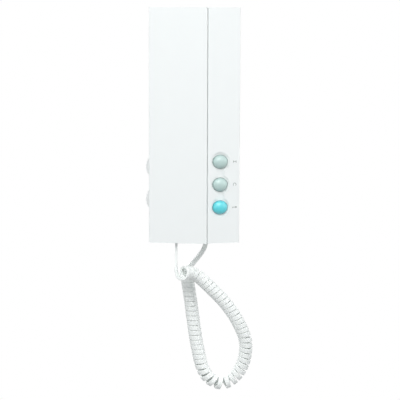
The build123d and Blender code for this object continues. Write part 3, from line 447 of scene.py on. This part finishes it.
def stroke(points):
    """A film along a line of (across, up) points: each point moved half a stroke to both sides,
    square to the line's slope, and both edges raised by the thickness of the ink."""
    slope = unit(np.gradient(points, axis=0))
    beside = np.stack([-slope[:, 1], slope[:, 0]], axis=1) * stroke_width / 2
    edges = np.stack([points - beside, points + beside], axis=1)
    rings = np.concatenate([edges, edges[:, ::-1]], axis=1)
    lift = np.array([0, 0, ink_thickness, ink_thickness])
    places = (
        ridge_corner + rings[..., :1] * facet_along + rings[..., 1:] * upward
        + lift[:, None] * facet_out
    )
    return places.reshape(-1, 3), tube_faces(len(points), len(lift))


def arc(centre, radius, first, last, count=25):
    """Points on a circle about (across, up), from one angle in degrees to another."""
    angles = np.radians(np.linspace(first, last, count))
    return np.array(centre) + radius * np.stack([np.cos(angles), np.sin(angles)], axis=1)


# The strokes of each sign, as lines of (across, up) points about its middle
sign_strokes = {
    "top": [
        [(-0.0012, -0.0010), (-0.0012, 0.0010)],
        [(0.0012, -0.0010), (0.0012, 0.0010)],
        [(-0.0008, 0), (0.0008, 0)],
    ],
    "middle": [
        arc((0, 0), 0.0013, -50, 200),
        [(-0.0013, -0.0009), (-0.0007, -0.0009)],
    ],
    "door": [
        arc((0.0012, 0), 0.0006, 0, 360),
        [(-0.0022, 0), (0.0006, 0)],
        [(-0.0018, 0), (-0.0018, -0.0007)],
    ],
}
sign_places, sign_faces = [], []
for place_name, strokes in sign_strokes.items():
    middle = np.array([sign_across, button_heights[place_name]])
    for line in strokes:
        places, faces = stroke(middle + line)
        sign_faces += [[corner + len(sign_places) for corner in face] for face in faces]
        sign_places += places.tolist()
button_signs = mesh_piece("button_signs", sign_places, sign_faces)
button_signs.data.materials.append(moulded("sign ink", (0.33, 0.36, 0.35), 0.5))
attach(button_signs, "base")

# Inner parts
# Circuit boards, switches, jacks and screws inside the base and the handset, seen through the
# cable window and the gaps.
finish_nodes(moulded("circuit board", (0.02, 0.12, 0.05), 0.35), "main_board", "button_board")
finish_nodes(
    moulded("black plastic", (0.02, 0.02, 0.022), 0.45),
    "sounder", "capacitors", "hook_switch", "call_volume_control", "speech_volume_control",
    "button_switch_top", "button_switch_middle", "button_switch_door", "switch_plunger_top",
    "switch_plunger_middle", "switch_plunger_door", "ribbon_headers", "base_cord_jack",
    "handset_cord_jack",
)
finish_nodes(moulded("terminal plastic", (0.03, 0.12, 0.35), 0.4), "terminal_block")
finish_nodes(moulded("ribbon", (0.45, 0.46, 0.48), 0.45), "button_ribbon")
finish_nodes(moulded("foam", (0.03, 0.03, 0.03), 0.9, grain_depth=0.0002), "receiver_foam")
finish_nodes(moulded("rubber", (0.02, 0.02, 0.02), 0.7), "microphone_boot")
finish_nodes(
    moulded("clear plug", (0.82, 0.86, 0.85), 0.15),
    "base_cord_plug", "handset_cord_plug",
)
finish_nodes(
    moulded("zinc", (0.60, 0.61, 0.62), 0.35, metallic=1),
    "cover_screw", "board_screws", "terminal_screws", "button_board_screws",
    "handset_screws", "handset_weight",
)
finish_nodes(
    moulded("capsule metal", (0.68, 0.69, 0.70), 0.3, metallic=1),
    "receiver_capsule", "microphone",
)

# Studio
# A pale floor well below the hanging object, a soft key light from the front and above, a fill
# from each side and one from behind, and a world that is plain white where the camera sees it.
floor_reach, floor_back, floor_level = 3, 2.6, -1.3
floor_grey, floor_roughness = 0.62, 0.9
floor_white_share = 0.7
sky_tint = (0.96, 0.98, 1.0, 1)
sky_low, sky_high = 0.14, 0.60
light_aim = Vector((0, 0, -0.05))


def seen_rays(tree):
    """A socket that is 1 for rays from the camera, from gloss and through glass, else 0."""
    rays = tree.nodes.new("ShaderNodeLightPath")
    found = rays.outputs["Is Camera Ray"]
    for name in ("Is Glossy Ray", "Is Transmission Ray"):
        either = tree.nodes.new("ShaderNodeMath")
        either.operation = "MAXIMUM"
        tree.links.new(found, either.inputs[0])
        tree.links.new(rays.outputs[name], either.inputs[1])
        found = either.outputs[0]
    return found


floor_corners = [
    (-floor_reach, -floor_reach, floor_level),
    (floor_reach, -floor_reach, floor_level),
    (floor_reach, floor_back, floor_level),
    (-floor_reach, floor_back, floor_level),
]
floor = mesh_piece("floor", floor_corners, [(0, 1, 2, 3)])
floor_material = bpy.data.materials.new("floor")
floor_material.use_nodes = True
floor_tree = floor_material.node_tree
floor_shader = floor_tree.nodes["Principled BSDF"]
floor_shader.inputs["Base Color"].default_value = (floor_grey, floor_grey, floor_grey, 1)
floor_shader.inputs["Roughness"].default_value = floor_roughness
floor_white = floor_tree.nodes.new("ShaderNodeEmission")
floor_mix = floor_tree.nodes.new("ShaderNodeMixShader")
floor_share = floor_tree.nodes.new("ShaderNodeMath")
floor_share.operation = "MULTIPLY"
floor_share.inputs[1].default_value = floor_white_share
floor_tree.links.new(seen_rays(floor_tree), floor_share.inputs[0])
floor_tree.links.new(floor_share.outputs[0], floor_mix.inputs[0])
floor_tree.links.new(floor_shader.outputs[0], floor_mix.inputs[1])
floor_tree.links.new(floor_white.outputs[0], floor_mix.inputs[2])
floor_tree.links.new(floor_mix.outputs[0], floor_tree.nodes["Material Output"].inputs["Surface"])
floor.data.materials.append(floor_material)

world = bpy.data.worlds.new("studio")
scene.world = world
world.use_nodes = True
world_tree = world.node_tree
world_light = world_tree.nodes["Background"]
world_light.inputs["Color"].default_value = sky_tint
sky_place = world_tree.nodes.new("ShaderNodeTexCoord")
sky_height = world_tree.nodes.new("ShaderNodeSeparateXYZ")
sky_strength = world_tree.nodes.new("ShaderNodeMapRange")
sky_strength.inputs["From Min"].default_value = -1
sky_strength.inputs["From Max"].default_value = 1
sky_strength.inputs["To Min"].default_value = sky_low
sky_strength.inputs["To Max"].default_value = sky_high
world_tree.links.new(sky_place.outputs["Generated"], sky_height.inputs[0])
world_tree.links.new(sky_height.outputs["Z"], sky_strength.inputs["Value"])
world_tree.links.new(sky_strength.outputs[0], world_light.inputs["Strength"])
world_white = world_tree.nodes.new("ShaderNodeBackground")
world_white.inputs["Color"].default_value = (1, 1, 1, 1)
world_mix = world_tree.nodes.new("ShaderNodeMixShader")
world_tree.links.new(seen_rays(world_tree), world_mix.inputs[0])
world_tree.links.new(world_light.outputs[0], world_mix.inputs[1])
world_tree.links.new(world_white.outputs[0], world_mix.inputs[2])
world_tree.links.new(world_mix.outputs[0], world_tree.nodes["World Output"].inputs["Surface"])


def soft_light(name, place, size, power):
    """A square area lamp that faces the object."""
    lamp = bpy.data.lights.new(name, "AREA")
    lamp.size = size
    lamp.energy = power
    holder = bpy.data.objects.new(name, lamp)
    holder.location = place
    holder.rotation_euler = (light_aim - Vector(place)).to_track_quat("-Z", "Y").to_euler()
    scene.collection.objects.link(holder)


soft_light("key light", (-0.07, -1.3, 1.1), size=1.1, power=18.4)
soft_light("right fill", (1.4, -0.7, 0.4), size=0.8, power=4.5)
soft_light("left fill", (-1.4, -0.7, 0.4), size=0.8, power=3.2)
soft_light("back fill", (-0.6, 1.5, 0.8), size=1.0, power=12)
